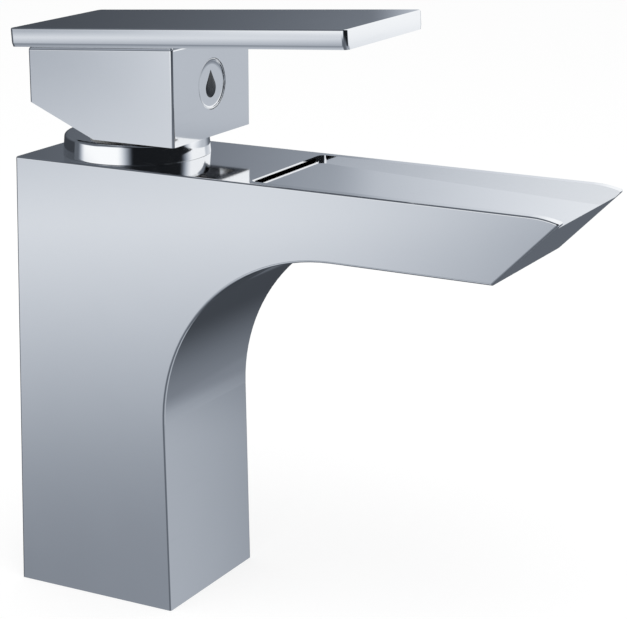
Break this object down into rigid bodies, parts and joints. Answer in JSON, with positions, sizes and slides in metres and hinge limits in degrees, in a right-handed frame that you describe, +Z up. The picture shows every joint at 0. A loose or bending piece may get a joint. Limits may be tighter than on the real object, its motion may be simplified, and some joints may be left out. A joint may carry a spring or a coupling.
{
  "type": "waterfall basin faucet",
  "caption": "Single-lever basin faucet with a square column, an arched open-trough waterfall spout and a flat raked lever on a block handle.",
  "frame": {"origin": "middle of the column's footprint, on the deck's top face", "axes": "+X along the spout away from the column, +Y to the left of the spout seen from behind, +Z up"},
  "size_m": [0.1758, 0.048, 0.2277],
  "materials": {
    "plated_metal": "polished",
    "machined_brass": "satin",
    "steel": "satin",
    "cartridge_plastic": "matte",
    "driver_plastic": "matte",
    "ceramic": "satin",
    "rubber": "matte",
    "inlay_paint": "satin"
  },
  "bodies": {
    "base": {"faucet_body": "plated_metal", "bonnet_cover": "plated_metal", "retaining_nut": "machined_brass", "cartridge_housing": "cartridge_plastic", "cartridge_base": "cartridge_plastic", "port_seals": "rubber", "fixed_disc": "ceramic", "base_gasket": "rubber", "mounting_stud": "steel"},
    "swivel": {"stem_guide": "driver_plastic", "stem_pin": "steel"},
    "handle": {"stem": "steel", "handle_block": "plated_metal", "lever_plate": "plated_metal", "plate_screws": "steel", "handle_set_screw": "steel", "index_plug": "plated_metal", "index_inlay": "inlay_paint"},
    "disc_driver": {"disc_carrier": "driver_plastic", "disc_ring": "rubber", "moving_disc": "ceramic"},
    "washers": {"rubber_washer": "rubber", "steel_washer": "steel"},
    "nut": {"clamp_nut": "steel"}
  },
  "joints": [
    {"name": "temperature_swivel", "type": "hinge", "parent": "base", "child": "swivel", "pos_m": [0.0035, 0, 0.138], "axis": [0, 0, 1], "range_deg": [-45, 45]},
    {"name": "flow_lift", "type": "hinge", "parent": "swivel", "child": "handle", "pos_m": [0.0035, 0, 0.138], "axis": [0, -1, 0], "range_deg": [0, 20]},
    {"name": "disc_slide", "type": "slide", "parent": "swivel", "child": "disc_driver", "axis": [1, 0, 0], "range_m": [0, 0.0047]},
    {"name": "clamp_travel", "type": "slide", "parent": "base", "child": "washers", "axis": [0, 0, 1], "range_m": [-0.016, 0.0165]},
    {"name": "nut_turn", "type": "hinge", "parent": "washers", "child": "nut", "pos_m": [-0.012, 0, -0.026], "axis": [0, 0, 1], "range_deg": [-4610, 4755]}
  ],
  "couplings": [
    {"joint": "disc_slide", "follows": "flow_lift", "m_per_rad": 0.013326},
    {"joint": "nut_turn", "follows": "clamp_travel", "rad_per_m": 5026.5}
  ]
}
